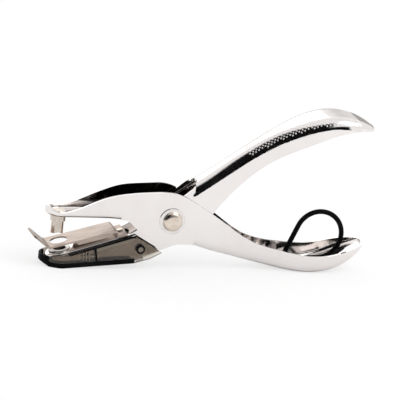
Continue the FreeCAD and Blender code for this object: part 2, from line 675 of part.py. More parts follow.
def underside_points():
    """The catcher's underside, from its nose to its tail."""
    return [side(-CATCHER_FRONT, -0.916 * BELLY_DROP), side(-0.943 * CATCHER_FRONT, -0.988 * BELLY_DROP),
            side(-TOE_REACH, -BELLY_DROP), side(-HEEL_REACH, -HEEL_DROP),
            side(-0.54 * HEEL_REACH, -0.89 * HEEL_DROP), side(-TAIL_REACH, -TAIL_DROP)]


def catcher_blank():
    under = underside_points()
    apex = side(-APEX_REACH, -APEX_DROP)
    rim = [apex, jaw_top(-0.51 * TOE_REACH, CATCHER_RIM), jaw_top(-0.98 * TOE_REACH, CATCHER_RIM),
           side(-0.91 * CATCHER_FRONT, -0.784 * BELLY_DROP), side(-CATCHER_FRONT, -0.796 * BELLY_DROP)]
    return slab(under + rim, -FAR, FAR).common(catcher_plan())


def catcher_hollow():
    """The space inside the catcher: over its floor, and open at the bottom behind the floor."""
    floor = [point + Z_AXIS * CATCHER_FLOOR for point in underside_points()[:5]]
    corners = [floor[0] - side(FAR, 0)] + floor + [side(FAR, floor[-1].z), side(FAR, FAR), side(-FAR, FAR)]
    space = slab(corners, -FAR, FAR)
    tail = Part.makeBox(FAR, 2 * FAR, FAR, FreeCAD.Vector(-CATCHER_FLOOR_END, -FAR, -FAR))
    return space.fuse(tail).common(catcher_plan(CATCHER_WALL))


def base_region():
    """The space that the black base takes up, from the catcher's nose to its heel."""
    under = underside_points()
    heel, toe, bow = [point + Z_AXIS * BASE_HEIGHT for point in (under[3], under[2], under[1])]
    front = side(CATCHER_WALL - CATCHER_FRONT, 0)
    return slab([side(-HEEL_REACH, -FAR), heel, toe, bow, front, side(-FAR, 0), side(-FAR, -FAR)], -FAR, FAR)


def pip_shaft(radius, low, high):
    return across(radius, side(-PIP_REACH, -PIP_DROP), low, high)


def make_catcher_body():
    body = catcher_blank().cut([base_region(), catcher_hollow()])
    return body.cut(pip_shaft(PIP_RADIUS + SHAFT_CLEARANCE, -CHEEK_WIDTH, CHEEK_WIDTH))


def make_catcher_base():
    return catcher_blank().common(base_region()).cut(catcher_hollow())


def make_catcher_pivot(way):
    """A pip: its shaft goes through the catcher's wall into the lever, with a flat head outside."""
    inside = way * (INNER_HALF - SHEET)
    outside = way * (CHEEK_HALF + RUNNING_GAP)
    head = pip_shaft(PIP_HEAD_RADIUS, *sorted((outside, outside + way * PIP_HEAD_HEIGHT)))
    return pip_shaft(PIP_RADIUS, *sorted((inside, outside))).fuse(head).removeSplitter()


# ---- hang loop ----

def loop_pin_centre():
    return side(LOOP_PIN_REACH, -LOOP_PIN_DROP)


def make_hang_loop():
    """Closed wire: a small eye and a large round end, joined by two straight limbs."""
    eye = loop_pin_centre()
    angle = math.radians(LOOP_ANGLE)
    round_end = eye + side(math.cos(angle), math.sin(angle)) * LOOP_LENGTH
    lean = math.pi - math.acos((LOOP_RADIUS - EYE_RADIUS) / LOOP_LENGTH)
    ways = [side(math.cos(turn), math.sin(turn)) for turn in (angle - lean, angle, angle + lean)]
    low, along, high = ways
    path = [line(eye + low * EYE_RADIUS, round_end + low * LOOP_RADIUS),
            arc(round_end + low * LOOP_RADIUS, round_end + along * LOOP_RADIUS, round_end + high * LOOP_RADIUS),
            line(round_end + high * LOOP_RADIUS, eye + high * EYE_RADIUS),
            arc(eye + high * EYE_RADIUS, eye - along * EYE_RADIUS, eye + low * EYE_RADIUS)]
    limb = path[0]
    tangent = limb.tangentAt(limb.FirstParameter)
    section = Part.Wire(Part.makeCircle(LOOP_WIRE, limb.Vertexes[0].Point, tangent))
    return Part.Wire(path).makePipeShell([section], True, False)


def loop_pin_radius():
    return EYE_RADIUS - LOOP_WIRE - LOOP_PIN_CLEARANCE


def make_loop_bracket():
    """Two ears on a base plate, standing on the floor of the lower handle."""
    pin = loop_pin_centre()
    half = LOOP_WIRE + RUNNING_GAP + BRACKET_SHEET
    floor = pin.z - EYE_RADIUS - LOOP_WIRE - RUNNING_GAP
    ear = loop_pin_radius() + EAR_MARGIN
    block = Part.makeBox(BRACKET_LENGTH, 2 * half, FAR,
                         FreeCAD.Vector(pin.x - BRACKET_LENGTH / 2, -half, pin.z - FAR))
    slot = Part.makeBox(FAR, 2 * (half - BRACKET_SHEET), FAR,
                        FreeCAD.Vector(pin.x - FAR / 2, BRACKET_SHEET - half, floor))
    bore = across(loop_pin_radius() + BRACKET_CLEARANCE, pin, -FAR, FAR)
    bracket = block.fuse(across(ear, pin, -half, half)).removeSplitter().cut([slot, bore])
    under = shifted(floor_points(), -SHEET)
    corners = [under[-1], side(under[-1].x, FAR), side(under[0].x, FAR), under[0]]
    return bracket.common(prism([curve(under).toShape()] + chain(corners), Y_AXIS, FAR))


def make_loop_pin():
    half = LOOP_WIRE + RUNNING_GAP + BRACKET_SHEET
    pin = loop_pin_centre()
    heads = [across(LOOP_PIN_HEAD, pin, *sorted((way * half, way * (half + LOOP_PIN_HEAD_THICKNESS))))
             for way in (-1, 1)]
    return across(loop_pin_radius(), pin, -half, half).fuse(heads).removeSplitter()


# ---- the whole punch ----

def make_parts():
    return {
        "outer_lever": make_outer_lever(),
        "inner_lever": make_inner_lever(),
        "pivot_rivet": make_pivot_rivet(),
        "rivet_washer_near": make_washer(-1),
        "rivet_washer_far": make_washer(1),
        "spacer_bush": make_spacer_bush(),
        "return_spring": make_return_spring(),
        "spring_upper_leg": make_spring_upper_leg(),
        "punch_pin": make_punch_pin(),
        "die_bush": make_die_bush(),
        "stripper_leaf": make_stripper_leaf(),
        "leaf_rivet": make_leaf_rivet(),
        "catcher_body": make_catcher_body(),
        "catcher_base": make_catcher_base(),
        "catcher_pivot_near": make_catcher_pivot(-1),
        "catcher_pivot_far": make_catcher_pivot(1),
        "hang_loop": make_hang_loop(),
        "loop_bracket": make_loop_bracket(),
        "loop_pin": make_loop_pin(),
    }


def main():
    parts = make_parts()
    box = FreeCAD.BoundBox()
    for shape in parts.values():
        box.add(shape.BoundBox)
    home = FreeCAD.Vector(-box.Center.x, 0, -box.ZMin)
    os.makedirs("parts", exist_ok=True)
    for node, shape in parts.items():
        shape.translate(home)
        shape.exportStep(f"parts/{node}.step")


if __name__ == "__main__":
    main()
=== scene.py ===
"""Looks of a one-hole hand punch: plated levers, steel pin and die, smoky catcher, wire loop."""

import json
import logging
import math
from dataclasses import dataclass, field
from enum import Enum
from functools import partial, reduce

import bmesh
import bpy
from mathutils import Matrix, Vector
from mathutils.bvhtree import BVHTree


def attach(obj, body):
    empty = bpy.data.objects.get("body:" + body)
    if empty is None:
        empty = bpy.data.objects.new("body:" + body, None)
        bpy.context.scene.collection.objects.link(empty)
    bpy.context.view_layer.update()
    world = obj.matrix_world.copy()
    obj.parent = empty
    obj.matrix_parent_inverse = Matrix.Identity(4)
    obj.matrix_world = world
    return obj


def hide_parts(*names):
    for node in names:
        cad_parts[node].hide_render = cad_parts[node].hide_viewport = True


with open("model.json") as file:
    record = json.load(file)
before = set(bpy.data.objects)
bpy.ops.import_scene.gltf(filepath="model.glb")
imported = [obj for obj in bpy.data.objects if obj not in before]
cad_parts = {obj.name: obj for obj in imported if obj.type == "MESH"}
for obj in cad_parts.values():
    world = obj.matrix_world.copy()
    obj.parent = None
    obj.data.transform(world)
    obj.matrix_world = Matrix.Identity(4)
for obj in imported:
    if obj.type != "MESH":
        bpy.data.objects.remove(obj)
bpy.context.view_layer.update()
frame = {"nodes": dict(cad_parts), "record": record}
LOG = logging.getLogger("punch")
MM = 0.001
PIVOT = Vector((-17.26, 0.0, 25.01)) * MM
SAME_CORNER = 0.004 * MM
SLIVER = 0.002 * MM
WHITE = (1.0, 1.0, 1.0)

Socket = bpy.types.NodeSocket
Colour = tuple[float, float, float]
Span = tuple[float, float]
Line = tuple[tuple[float, float], ...]


class Body(Enum):
    """The moving bodies that pieces ride on."""

    FRAME = "outer_frame"
    LEVER = "squeeze_lever"
    CATCHER = "catcher"
    LOOP = "loop"


def at(x: float, y: float, z: float) -> Vector:
    """A point given in millimetres from the pivot axis, as a point of the model in metres."""
    return PIVOT + Vector((x, y, z)) * MM


# ---- shader building ----

class NodeSheet:
    """Adds nodes to a node tree and joins them."""

    def __init__(self, tree: bpy.types.NodeTree) -> None:
        """Keeps the tree to work on."""
        self.tree = tree

    def add(self, kind: str, **settings: object) -> bpy.types.Node:
        """Adds one node.

        Args:
            kind: Blender's identifier of the node type.
            settings: attributes to set on the node.

        Returns:
            The new node.
        """
        node = self.tree.nodes.new(kind)
        for name, value in settings.items():
            setattr(node, name, value)
        return node

    def join(self, source: Socket, target: Socket) -> None:
        """Links an output to an input."""
        self.tree.links.new(source, target)

    def feed(self, socket: Socket, value: object) -> None:
        """Gives an input a link or a plain value.

        Args:
            socket: the input.
            value: an output to link, a number, or a colour, which gets an alpha of 1.
        """
        if isinstance(value, Socket):
            self.join(value, socket)
        else:
            socket.default_value = (*value, 1.0) if isinstance(value, tuple) else value

    def fill(self, node: bpy.types.Node, values: dict[object, object]) -> bpy.types.NodeOutputs:
        """Feeds some of a node's inputs.

        Args:
            node: the node.
            values: socket or plain value by the input's name or number.

        Returns:
            The node's outputs.
        """
        for label, value in values.items():
            self.feed(node.inputs[label], value)
        return node.outputs

    def wire(self, kind: str, *values: object, **settings: object) -> bpy.types.NodeOutputs:
        """Adds one node, feeds its inputs in order and returns its outputs."""
        return self.fill(self.add(kind, **settings), dict(enumerate(values)))

    def maths(self, operation: str, *values: object) -> Socket:
        """Adds a Math node, with sockets or numbers in its inputs, and returns its result."""
        return self.wire("ShaderNodeMath", *values, operation=operation)[0]

    def product(self, *values: object) -> Socket:
        """Multiplies sockets and numbers in their order."""
        return reduce(partial(self.maths, "MULTIPLY"), values)

    def remap(self, value: Socket, limits: Span, results: Span) -> Socket:
        """Maps a value smoothly from its limits to the results, which hold beyond them."""
        settings = {"interpolation_type": "SMOOTHSTEP"}
        return self.wire("ShaderNodeMapRange", value, *limits, *results, **settings)[0]

    def rise(self, value: Socket, low: float, high: float) -> Socket:
        """Goes from 0 at the lower limit to 1 at the upper one."""
        return self.remap(value, (low, high), (0.0, 1.0))

    def fall(self, value: Socket, low: float, high: float) -> Socket:
        """Goes from 1 at the lower limit to 0 at the upper one."""
        return self.remap(value, (low, high), (1.0, 0.0))

    def noise(self, vector: Socket, scale: object, detail: float = 3.0,
              roughness: float = 0.55) -> Socket:
        """Reads a Noise texture at a vector, with sockets or numbers as its settings."""
        values = {"Vector": vector, "Scale": scale, "Detail": detail, "Roughness": roughness}
        return self.fill(self.add("ShaderNodeTexNoise"), values)[0]

    def blend(self, share: object, first: object, second: object) -> Socket:
        """Mixes a share of the second colour into the first."""
        mix = self.add("ShaderNodeMix", data_type="RGBA")
        return self.fill(mix, {0: share, 6: first, 7: second})[2]

    def split(self, vector: Socket) -> bpy.types.NodeOutputs:
        """Splits a vector into its x, y and z."""
        return self.wire("ShaderNodeSeparateXYZ", vector)


class EffectGroup:
    """A shader node group with named inputs and outputs."""

    def __init__(self, name: str, inputs: dict[str, float | None],
                 outputs: tuple[str, ...]) -> None:
        """Makes the group and its sockets.

        Args:
            name: the group's name.
            inputs: default value by input name; None stands for a vector.
            outputs: names of the outputs, all of which are values.
        """
        self.tree = bpy.data.node_groups.new(name, "ShaderNodeTree")
        for label, default in inputs.items():
            kind = "NodeSocketVector" if default is None else "NodeSocketFloat"
            socket = self.tree.interface.new_socket(label, in_out="INPUT", socket_type=kind)
            if default is not None:
                socket.default_value = default
        for label in outputs:
            self.tree.interface.new_socket(label, in_out="OUTPUT", socket_type="NodeSocketFloat")
        self.sheet = NodeSheet(self.tree)
        self.source = self.sheet.add("NodeGroupInput").outputs
        self.sink = self.sheet.add("NodeGroupOutput").inputs

    def place(self, sheet: NodeSheet, **values: object) -> bpy.types.NodeOutputs:
        """Puts the group into a material, with a socket or number for each of its inputs."""
        return sheet.fill(sheet.add("ShaderNodeGroup", node_tree=self.tree), values)


def scratch_group() -> EffectGroup:
    """Fine handling scratches: short hairs in two directions, where the metal was handled.

    Returns:
        A group with the outputs Mask and Height.
    """
    hair_runs = (((0.2, 0.5, 0.1), (1.0, 1.0, 0.05)), ((0.2, -0.9, 0.1), (0.06, 1.0, 1.0)))
    hair_limits = (0.62, 0.72)
    handled_scale, handled_limits = 70.0, (0.42, 0.68)
    group = EffectGroup("handling_scratches", {"Vector": None, "Scale": 900.0, "Amount": 0.5},
                        ("Mask", "Height"))
    sheet, source = group.sheet, group.source
    hairs = []
    for turn, stretch in hair_runs:
        mapping = sheet.add("ShaderNodeMapping")
        sheet.join(source["Vector"], mapping.inputs["Vector"])
        mapping.inputs["Rotation"].default_value = turn
        mapping.inputs["Scale"].default_value = stretch
        hair = sheet.noise(mapping.outputs[0], source["Scale"], 2.0)
        hairs.append(sheet.rise(hair, *hair_limits))
    handled = sheet.rise(sheet.noise(source["Vector"], handled_scale), *handled_limits)
    mask = sheet.product(sheet.maths("MAXIMUM", *hairs), handled, source["Amount"])
    sheet.join(mask, group.sink["Mask"])
    sheet.join(sheet.product(mask, -1.0), group.sink["Height"])
    return group


def grain_group() -> EffectGroup:
    """Grain of drawn or turned metal: noise stretched along one axis.

    Returns:
        A group with the outputs Value and Height.
    """
    inputs = {"Vector": None, "Scale": 600.0, "Along": 0.03, "Depth": 0.5}
    group = EffectGroup("drawn_grain", inputs, ("Value", "Height"))
    sheet, source = group.sheet, group.source
    x, y, z = sheet.split(source["Vector"])
    stretched = sheet.wire("ShaderNodeCombineXYZ", sheet.product(x, source["Along"]), y, z)[0]
    fine = sheet.noise(stretched, source["Scale"], 4.0, 0.7)
    sheet.join(fine, group.sink["Value"])
    sheet.join(sheet.product(fine, source["Depth"]), group.sink["Height"])
    return group


def texture_group() -> EffectGroup:
    """Spark-eroded mould texture of plastic, with a little dust in it.

    Returns:
        A group with the outputs Height and Dust.
    """
    dust_scale, dust_limits = 160.0, (0.5, 0.75)
    inputs = {"Vector": None, "Scale": 1500.0, "Depth": 1.0, "Dust": 0.3}
    group = EffectGroup("mould_texture", inputs, ("Height", "Dust"))
    sheet, source = group.sheet, group.source
    grit = sheet.noise(source["Vector"], source["Scale"], 2.0, 0.6)
    sheet.join(sheet.product(grit, source["Depth"]), group.sink["Height"])
    spots = sheet.rise(sheet.noise(source["Vector"], dust_scale, 2.0), *dust_limits)
    sheet.join(sheet.product(spots, source["Dust"]), group.sink["Dust"])
    return group


@dataclass
class Effects:
    """The shader groups that the finishes share, and the materials made so far."""

    scratches: EffectGroup = field(default_factory=scratch_group)
    grain: EffectGroup = field(default_factory=grain_group)
    mould: EffectGroup = field(default_factory=texture_group)
    made: dict["Finish", bpy.types.Material] = field(default_factory=dict)


# ---- finishes ----

class Surface(NodeSheet):
    """The nodes of a new material that holds a Principled shader."""

    def __init__(self, name: str) -> None:
        """Makes the material and reads its object coordinates.

        Args:
            name: the material's name.
        """
        self.material = bpy.data.materials.new(name)
        self.material.use_nodes = True
        super().__init__(self.material.node_tree)
        self.shader = self.tree.nodes["Principled BSDF"]
        self.place = self.add("ShaderNodeTexCoord").outputs["Object"]

    def put(self, label: str, value: object) -> None:
        """Gives one of the shader's inputs a link or a plain value."""
        self.feed(self.shader.inputs[label], value)

    def bump(self, height: Socket, depth: float) -> None:
        """Bends the shader's normal by a height, of which 1 stands for a depth in millimetres."""
        values = {"Distance": depth * MM, "Strength": 1.0, "Height": height}
        self.put("Normal", self.fill(self.add("ShaderNodeBump"), values)[0])


@dataclass(frozen=True)
class Cloud:
    """Soft noise over a surface: the limits of the noise, and what it gives at them."""

    scale: float
    limits: Span
    results: Span = (0.0, 1.0)
    detail: float = 3.0

    def spread(self, surface: Surface, lift: float = 0.0) -> Socket:
        """Adds the noise to a surface.

        Args:
            surface: the surface.
            lift: what both results are raised by.

        Returns:
            The value over the surface.
        """
        noise = surface.noise(surface.place, self.scale, self.detail)
        start, end = self.results
        return surface.remap(noise, self.limits, (start + lift, end + lift))


@dataclass(frozen=True)
class Wear:
    """Handling scratches on a finish: scale, amount, and how much they roughen it."""

    scale: float
    amount: float
    rough: float = 0.0

    def scratch(self, surface: Surface, effects: Effects) -> bpy.types.NodeOutputs:
        """Adds the scratches to a surface and returns their Mask and Height."""
        return effects.scratches.place(surface, Vector=surface.place, Scale=self.scale,
                                       Amount=self.amount)

    def roughen(self, surface: Surface, rough: object, mask: Socket) -> None:
        """Feeds the shader's roughness with the scratches added to it."""
        surface.put("Roughness", surface.maths("ADD", rough, surface.product(mask, self.rough)))


@dataclass(frozen=True)
class Finish:
    """A finish that builds its own material."""

    name: str

    def build(self, effects: Effects) -> bpy.types.Material:
        """Makes the material, once.

        Args:
            effects: the shared shader groups.

        Returns:
            The material.
        """
        if self not in effects.made:
            surface = Surface(self.name)
            self.paint(surface, effects)
            effects.made[self] = surface.material
        return effects.made[self]

    def paint(self, surface: Surface, effects: Effects) -> None:
        """Fills the surface's shader, in each finish's own way."""
        raise NotImplementedError


@dataclass(frozen=True)
class PlateFinish(Finish):
    """Bright nickel plate on pressed sheet, darkened inside the channel by a painted dark
    reflection and shade.

    The painted shade's lengths are in millimetres from the pivot axis. Its halves are the channel's
    half widths in front of and behind the place where it widens, and its fades are the lengths over
    which it fades at its start, end, floor and ceiling.
    """

    painted_shade_halves: Span
    painted_shade_start: float = -44.0
    painted_shade_end: float = 15.0
    painted_shade_floor: float = -5.0
    painted_shade_ceiling: float = 60.0
    painted_shade_fades: tuple[float, float, float, float] = (16.0, 4.0, 2.0, 1.0)
    painted_shade_amount: float = 0.85
    widening: Span = (-36.0, -19.0)
    painted_shade_depth: Span = (0.4, 0.9)
    # Colour of the painted shade and dark reflection inside the channel.
    painted_shade: Colour = (0.05, 0.047, 0.045)
    colour: Colour = (0.835, 0.80, 0.785)
    tint: Colour = (0.79, 0.75, 0.73)
    worn: Colour = (0.62, 0.59, 0.56)
    worn_share: float = 0.25
    roughness: float = 0.07
    tone: Cloud = Cloud(45.0, (0.35, 0.7), (0.0, 0.8))
    haze: Cloud = Cloud(110.0, (0.35, 0.75), (0.0, 0.05), 4.0)
    wear: Wear = Wear(700.0, 0.5, 0.18)
    bump_depth: float = 0.02

    def paint(self, surface: Surface, effects: Effects) -> None:
        """Plates the surface.

        Args:
            surface: the surface.
            effects: the shared shader groups.
        """
        scratches = self.wear.scratch(surface, effects)
        base = surface.blend(self.tone.spread(surface), self.colour, self.tint)
        # Painted shade: the channel's inner faces are darkened to stand for the dark reflections
        # and shade in there.
        base = surface.blend(self.painted_shade_mask(surface), base, self.painted_shade)
        worn = surface.product(scratches["Mask"], self.worn_share)
        surface.put("Base Color", surface.blend(worn, base, self.worn))
        self.wear.roughen(surface, self.haze.spread(surface, self.roughness), scratches["Mask"])
        surface.put("Metallic", 1.0)
        surface.bump(scratches["Height"], self.bump_depth)

    def painted_shade_mask(self, surface: Surface) -> Socket:
        """Masks the inner faces of the channel, where the shade is painted.

        Args:
            surface: the surface.

        Returns:
            How much of the film lies there.
        """
        x, y, z = surface.split(surface.place)
        half = surface.remap(x, tuple(at(reach, 0, 0).x for reach in self.widening),
                             tuple(half * MM for half in self.painted_shade_halves))
        depth = surface.maths("SUBTRACT", half, surface.maths("ABSOLUTE", y))
        inside = surface.remap(depth, tuple(edge * MM for edge in self.painted_shade_depth),
                               (0.0, self.painted_shade_amount))
        start = at(self.painted_shade_start, 0, self.painted_shade_floor)
        end = at(self.painted_shade_end, 0, self.painted_shade_ceiling)
        behind, ahead, low, high = (fade * MM for fade in self.painted_shade_fades)
        return surface.product(inside, surface.rise(x, start.x, start.x + behind),
                               surface.fall(x, end.x - ahead, end.x),
                               surface.rise(z, start.z, start.z + low),
                               surface.fall(z, end.z - high, end.z))


@dataclass(frozen=True)
class SteelFinish(Finish):
    """Bare steel with a drawn or turned grain."""

    colour: Colour
    dark: Colour
    roughness: float = 0.28
    grain_scale: float = 900.0
    grain_along: float = 0.04
    depth: float = 0.5
    grain_limits: Span = (0.35, 0.7)
    rough_limits: Span = (0.3, 0.75)
    rough_spread: float = 0.14
    oil: Cloud = Cloud(60.0, (0.5, 0.75), (0.0, 0.35))
    wear: Wear = Wear(1100.0, 0.7, 0.15)
    bump_depth: float = 0.03

    def paint(self, surface: Surface, effects: Effects) -> None:
        """Gives the surface its grain.

        Args:
            surface: the surface.
            effects: the shared shader groups.
        """
        grain = effects.grain.place(surface, Vector=surface.place, Scale=self.grain_scale,
                                    Along=self.grain_along, Depth=self.depth)
        scratches = self.wear.scratch(surface, effects)
        streaks = surface.rise(grain["Value"], *self.grain_limits)
        base = surface.blend(streaks, self.colour, self.dark)
        surface.put("Base Color", surface.blend(self.oil.spread(surface), base, self.dark))
        rough = surface.remap(grain["Value"], self.rough_limits,
                              (self.roughness, self.roughness + self.rough_spread))
        self.wear.roughen(surface, rough, scratches["Mask"])
        surface.put("Metallic", 1.0)
        surface.bump(surface.maths("ADD", grain["Height"], scratches["Height"]), self.bump_depth)


@dataclass(frozen=True)
class SmokedPlasticFinish(Finish):
    """Smoky translucent moulding, with a pale strip of painted light along the underside of its
    tail.

    The heel is (x, z) from the pivot axis and the strip's height and fade are in millimetres; the
    slope is a ratio.
    """

    colour: Colour = (0.45, 0.395, 0.335)
    flow_shade: float = 0.88
    dust: Colour = (0.5, 0.48, 0.45)
    # Painted light: the pale cream of the strip along the tail's underside, for the light that
    # shows through there.
    clear: Colour = (0.93, 0.875, 0.80)
    heel: tuple[float, float] = (-17.2, -21.8)
    slope: float = 0.412
    strip: float = 1.1
    strip_fade: Span = (0.6, 0.3)
    transmission: float = 0.96
    refraction: float = 1.45
    roughness: float = 0.12
    texture_scale: float = 900.0
    texture_depth: float = 0.6
    texture_dust: float = 0.25
    flow: Cloud = Cloud(90.0, (0.35, 0.7), detail=2.0)
    wear: Wear = Wear(800.0, 0.8, 0.3)
    bump_depth: float = 0.02

    def paint(self, surface: Surface, effects: Effects) -> None:
        """Makes the surface smoky and see-through.

        Args:
            surface: the surface.
            effects: the shared shader groups.
        """
        mould = effects.mould.place(surface, Vector=surface.place, Scale=self.texture_scale,
                                    Depth=self.texture_depth, Dust=self.texture_dust)
        scratches = self.wear.scratch(surface, effects)
        shaded = tuple(part * self.flow_shade for part in self.colour)
        base = surface.blend(self.flow.spread(surface), self.colour, shaded)
        # Painted light: the strip along the tail's underside is coloured pale cream.
        base = surface.blend(self.painted_light_mask(surface), base, self.clear)
        surface.put("Base Color", surface.blend(mould["Dust"], base, self.dust))
        self.wear.roughen(surface, self.roughness, scratches["Mask"])
        surface.put("Transmission Weight", self.transmission)
        surface.put("IOR", self.refraction)
        surface.bump(surface.maths("ADD", mould["Height"], scratches["Height"]), self.bump_depth)

    def painted_light_mask(self, surface: Surface) -> Socket:
        """Masks the painted light strip along the tail's underside, behind the heel.

        Args:
            surface: the surface.

        Returns:
            1 in the strip and 0 elsewhere.
        """
        x, _, z = surface.split(surface.place)
        heel = at(self.heel[0], 0, self.heel[1])
        level = surface.maths("SUBTRACT", z, surface.product(x, self.slope))
        top = heel.z - self.slope * heel.x + self.strip * MM
        behind, above = self.strip_fade
        return surface.product(surface.fall(level, top, top + above * MM),
                               surface.rise(x, heel.x - behind * MM, heel.x))


@dataclass(frozen=True)
class DarkCoatFinish(Finish):
    """Moulded plastic or lacquer, black unless it is given other colours."""

    colour: Colour = (0.003, 0.003, 0.0033)
    worn: Colour = (0.012, 0.0115, 0.011)
    roughness: float = 0.42
    coat: float = 0.0
    texture_scale: float = 1800.0
    texture_depth: float = 1.0
    texture_dust: float = 0.35
    specular: float = 0.04
    worn_share: float = 0.5
    haze: Cloud = Cloud(220.0, (0.35, 0.7), (0.0, 0.12))
    wear: Wear = Wear(900.0, 0.8)
    bump_depth: float = 0.04

    def paint(self, surface: Surface, effects: Effects) -> None:
        """Coats the surface.

        Args:
            surface: the surface.
            effects: the shared shader groups.
        """
        mould = effects.mould.place(surface, Vector=surface.place, Scale=self.texture_scale,
                                    Depth=self.texture_depth, Dust=self.texture_dust)
        scratches = self.wear.scratch(surface, effects)
        worn = surface.product(scratches["Mask"], self.worn_share)
        mask = surface.maths("MAXIMUM", mould["Dust"], worn)
        surface.put("Base Color", surface.blend(mask, self.colour, self.worn))
        surface.put("Roughness", self.haze.spread(surface, self.roughness))
        surface.put("Coat Weight", self.coat)
        surface.put("Specular IOR Level", self.specular)
        surface.bump(mould["Height"], self.bump_depth)


# ---- pieces ----

def dress(obj: bpy.types.Object, material: bpy.types.Material) -> None:
    """Gives the object this one material."""
    obj.data.materials.clear()
    obj.data.materials.append(material)


def new_piece(name: str, work: bmesh.types.BMesh, angle: float = 60.0) -> bpy.types.Object:
    """Shades a finished bmesh smoothly, turns it into a piece of the scene and frees it.

    Args:
        name: the piece's name.
        work: the finished mesh.
        angle: edges that turn more than this many degrees stay sharp.

    Returns:
        The new piece.
    """
    limit = math.radians(angle)
    for face in work.faces:
        face.smooth = True
    for edge in work.edges:
        edge.smooth = len(edge.link_faces) == 2 and edge.calc_face_angle(0.0) < limit
    mesh = bpy.data.meshes.new(name)
    work.to_mesh(mesh)
    work.free()
    piece = bpy.data.objects.new(name, mesh)
    bpy.context.scene.collection.objects.link(piece)
    return piece


def read_mesh(mesh: bpy.types.Mesh) -> bmesh.types.BMesh:
    """A bmesh that holds a copy of a mesh."""
    work = bmesh.new()
    work.from_mesh(mesh)
    return work


def surface_tree(mesh: bpy.types.Mesh) -> BVHTree:
    """A search tree over the surface of a mesh.

    Args:
        mesh: the mesh.

    Returns:
        The tree.
    """
    surface = read_mesh(mesh)
    tree = BVHTree.FromBMesh(surface)
    surface.free()
    return tree


def body_of(node: str) -> Body:
    """The body that a CAD node belongs to."""
    bodies = frame["record"]["behaviour"]["bodies"]
    return Body(next(name for name, nodes in bodies.items() if node in nodes))


@dataclass
class SubAssembly:
    """A group of CAD nodes that share a purpose, each with its finish."""

    effects: Effects

    def skin(self, node: str, finish: Finish, angle: float = 32.0) -> bpy.types.Object:
        """Replaces a CAD node by a merged, smoothly shaded copy.

        Args:
            node: the CAD node's name.
            finish: the copy's finish.
            angle: edges that turn more than this many degrees stay sharp.

        Returns:
            The skin.
        """
        work = read_mesh(frame["nodes"][node].data)
        bmesh.ops.remove_doubles(work, verts=work.verts, dist=SAME_CORNER)
        bmesh.ops.dissolve_degenerate(work, edges=work.edges, dist=SLIVER)
        piece = new_piece(node + "_skin", work, angle)
        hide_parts(node)
        return self.keep(piece, finish, node)

    def keep(self, piece: bpy.types.Object, finish: Finish, node: str) -> bpy.types.Object:
        """Dresses a piece, makes it ride with a CAD node and reports it.

        Args:
            piece: the piece.
            finish: its finish.
            node: the CAD node that it covers or stands for, which gives its body and slot.

        Returns:
            The piece.
        """
        dress(piece, finish.build(self.effects))
        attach(piece, body_of(node).value)
        LOG.info("%s: %s, %d faces", type(self).__name__, piece.name, len(piece.data.polygons))
        return piece


# ---- levers ----

@dataclass(frozen=True)
class Section:
    """A cross-section of the upper handle: its x, its crown's z and half its width, in metres."""

    x: float
    crown: float
    half: float

    def towards(self, other: "Section", part: float, x: float) -> "Section":
        """The section at x, a part of the way to another one and with its values in proportion."""
        return Section(x, self.crown + (other.crown - self.crown) * part,
                       self.half + (other.half - self.half) * part)


